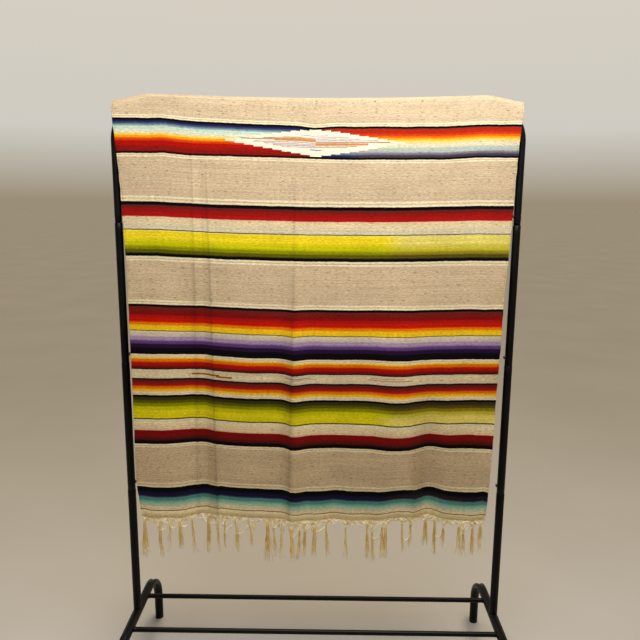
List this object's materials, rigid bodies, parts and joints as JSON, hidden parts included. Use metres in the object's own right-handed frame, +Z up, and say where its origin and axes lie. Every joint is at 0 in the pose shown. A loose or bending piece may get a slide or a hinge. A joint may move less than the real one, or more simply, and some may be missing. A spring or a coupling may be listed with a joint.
{
  "type": "mexican serape on a garment rack",
  "caption": "Striped woven serape with a stepped lozenge and knotted fringe, hung over the top bar of a black tubular garment rack with bent feet.",
  "frame": {"origin": "on the floor under the middle of the rack", "axes": "+Z up; +X along the top bar, to the right of someone who faces the longer drop; -Y is that longer drop's side"},
  "size_m": [0.9972, 0.438, 1.5169],
  "materials": {
    "woven_wool": "matte weft-faced weave in natural beige with banded colours",
    "warp_fringe": "matte golden cotton cords, knotted and unravelled",
    "black_gloss_paint": "semi-gloss black paint on steel tube",
    "black_buttons": "semi-gloss black paint on round spring buttons"
  },
  "bodies": {
    "root": {"serape_web": "woven_wool", "fringe_front": "warp_fringe", "fringe_back": "warp_fringe", "top_frame": "black_gloss_paint", "upright_left_upper": "black_gloss_paint", "upright_left_middle": "black_gloss_paint", "upright_left_lower": "black_gloss_paint", "upright_right_upper": "black_gloss_paint", "upright_right_middle": "black_gloss_paint", "upright_right_lower": "black_gloss_paint", "snap_button_left_upper": "black_buttons", "snap_button_left_middle": "black_buttons", "snap_button_left_lower": "black_buttons", "snap_button_right_upper": "black_buttons", "snap_button_right_middle": "black_buttons", "snap_button_right_lower": "black_buttons", "side_foot_left": "black_gloss_paint", "side_foot_right": "black_gloss_paint", "cross_bar_front": "black_gloss_paint", "cross_bar_back": "black_gloss_paint"}
  },
  "joints": []
}
